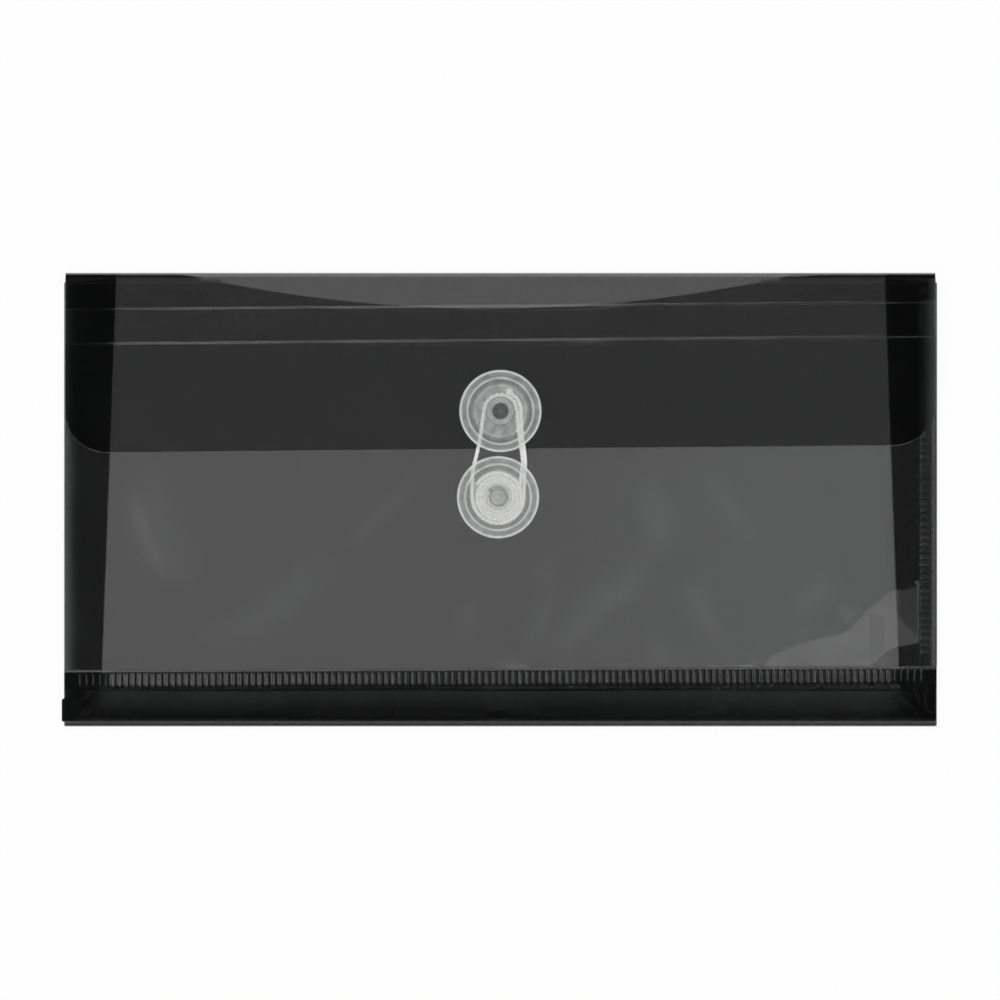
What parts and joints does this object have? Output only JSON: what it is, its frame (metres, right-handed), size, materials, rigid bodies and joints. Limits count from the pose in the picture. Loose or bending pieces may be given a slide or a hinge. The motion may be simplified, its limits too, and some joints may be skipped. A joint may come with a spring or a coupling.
{
  "type": "string tie envelope",
  "caption": "Smoke-grey translucent plastic envelope with gusseted pocket, creased flap, tie discs and a white string wound between them to hold it shut.",
  "frame": {"origin": "under the middle of the outline, on the surface the envelope lies on", "axes": "+X along the width to the right, +Y up the front towards the top fold, +Z out of the front"},
  "size_m": [0.254, 0.1316, 0.0063],
  "materials": {
    "smoke_sheet": "smoke-grey translucent polypropylene sheet, smooth with a soft gloss",
    "clear_plastic": "frosted clear moulded plastic",
    "string": "white twisted cotton string"
  },
  "bodies": {
    "back": {"back_panel": "smoke_sheet", "top_fold": "smoke_sheet"},
    "front": {"front_panel": "smoke_sheet", "bottom_seam_tab": "smoke_sheet", "right_seam_tab": "smoke_sheet", "lower_rivet": "clear_plastic", "lower_rivet_washer": "clear_plastic", "string_lower_turns": "string", "string_lower_bight": "string"},
    "left_gusset_rear": {"left_gusset_rear": "smoke_sheet"},
    "right_gusset_rear": {"right_gusset_rear": "smoke_sheet"},
    "bottom_gusset_rear": {"bottom_gusset_rear": "smoke_sheet"},
    "left_gusset_front": {"left_gusset_front": "smoke_sheet"},
    "right_gusset_front": {"right_gusset_front": "smoke_sheet"},
    "bottom_gusset_front": {"bottom_gusset_front": "smoke_sheet"},
    "flap_fold": {"flap_fold_strip": "smoke_sheet"},
    "flap_upper_strip": {"flap_upper_strip": "smoke_sheet"},
    "flap_lower_strip": {"flap_lower_strip": "smoke_sheet"},
    "flap": {"flap_panel": "smoke_sheet", "upper_rivet": "clear_plastic", "upper_rivet_washer": "clear_plastic", "string_upper_bight": "string", "string_fixed_end": "string", "string_strands": "string"},
    "upper_disc": {"upper_tie_disc": "clear_plastic"},
    "lower_disc": {"lower_tie_disc": "clear_plastic"}
  },
  "joints": [
    {"name": "pocket_open", "type": "hinge", "parent": "back", "child": "front", "pos_m": [0, -0.34023, 0.0009], "axis": [1, 0, 0], "range_deg": [0, 2.45], "deforming": ["flap_fold_strip", "flap_upper_strip", "flap_lower_strip", "string_strands"]},
    {"name": "left_gusset_rear_fold", "type": "hinge", "parent": "back", "child": "left_gusset_rear", "pos_m": [-0.127, 0, 0.0004], "axis": [0, 1, 0], "range_deg": [-34.5, 0.1]},
    {"name": "right_gusset_rear_fold", "type": "hinge", "parent": "back", "child": "right_gusset_rear", "pos_m": [0.127, 0, 0.0004], "axis": [0, 1, 0], "range_deg": [-0.1, 34.5]},
    {"name": "bottom_gusset_rear_fold", "type": "hinge", "parent": "back", "child": "bottom_gusset_rear", "pos_m": [0, -0.06585, 0.0004], "axis": [1, 0, 0], "range_deg": [-0.1, 34.5]},
    {"name": "left_gusset_front_fold", "type": "hinge", "parent": "front", "child": "left_gusset_front", "pos_m": [-0.127, 0, 0.0014], "axis": [0, 1, 0], "range_deg": [-0.1, 34.5]},
    {"name": "right_gusset_front_fold", "type": "hinge", "parent": "front", "child": "right_gusset_front", "pos_m": [0.127, 0, 0.0014], "axis": [0, 1, 0], "range_deg": [-34.5, 0.1]},
    {"name": "bottom_gusset_front_fold", "type": "hinge", "parent": "front", "child": "bottom_gusset_front", "pos_m": [0, -0.06585, 0.0014], "axis": [1, 0, 0], "range_deg": [-34.5, 0.1]},
    {"name": "flap_open", "type": "hinge", "parent": "back", "child": "flap_fold", "pos_m": [0, 0.06455, 0.00265], "axis": [1, 0, 0], "range_deg": [-175, 0]},
    {"name": "flap_fold_rise", "type": "hinge", "parent": "flap_fold", "child": "flap_upper_strip", "pos_m": [0, 0.06395, 0.0026], "axis": [1, 0, 0], "range_deg": [-100.5, 0.1]},
    {"name": "flap_first_crease", "type": "hinge", "parent": "flap_upper_strip", "child": "flap_lower_strip", "pos_m": [0, 0.05655, 0.0023], "axis": [1, 0, 0], "range_deg": [-0.1, 20.5]},
    {"name": "flap_second_crease", "type": "hinge", "parent": "flap_lower_strip", "child": "flap", "pos_m": [0, 0.04655, 0.0023], "axis": [1, 0, 0], "range_deg": [-0.1, 82.95]},
    {"name": "upper_disc_spin", "type": "hinge", "parent": "flap", "child": "upper_disc", "pos_m": [0, 0.02585, 0.0026], "axis": [0, 0, 1], "continuous": true},
    {"name": "lower_disc_spin", "type": "hinge", "parent": "front", "child": "lower_disc", "pos_m": [-0.0007, 0.00075, 0.0018], "axis": [0, 0, 1], "continuous": true}
  ],
  "couplings": [
    {"joint": "left_gusset_rear_fold", "follows": "pocket_open", "ratio": -13.878},
    {"joint": "right_gusset_rear_fold", "follows": "pocket_open", "ratio": 13.878},
    {"joint": "bottom_gusset_rear_fold", "follows": "pocket_open", "ratio": 13.878},
    {"joint": "left_gusset_front_fold", "follows": "pocket_open", "ratio": 13.878},
    {"joint": "right_gusset_front_fold", "follows": "pocket_open", "ratio": -13.878},
    {"joint": "bottom_gusset_front_fold", "follows": "pocket_open", "ratio": -13.878},
    {"joint": "flap_fold_rise", "follows": "pocket_open", "ratio": -40.816},
    {"joint": "flap_first_crease", "follows": "pocket_open", "ratio": 8.1633},
    {"joint": "flap_second_crease", "follows": "pocket_open", "ratio": 33.653}
  ]
}
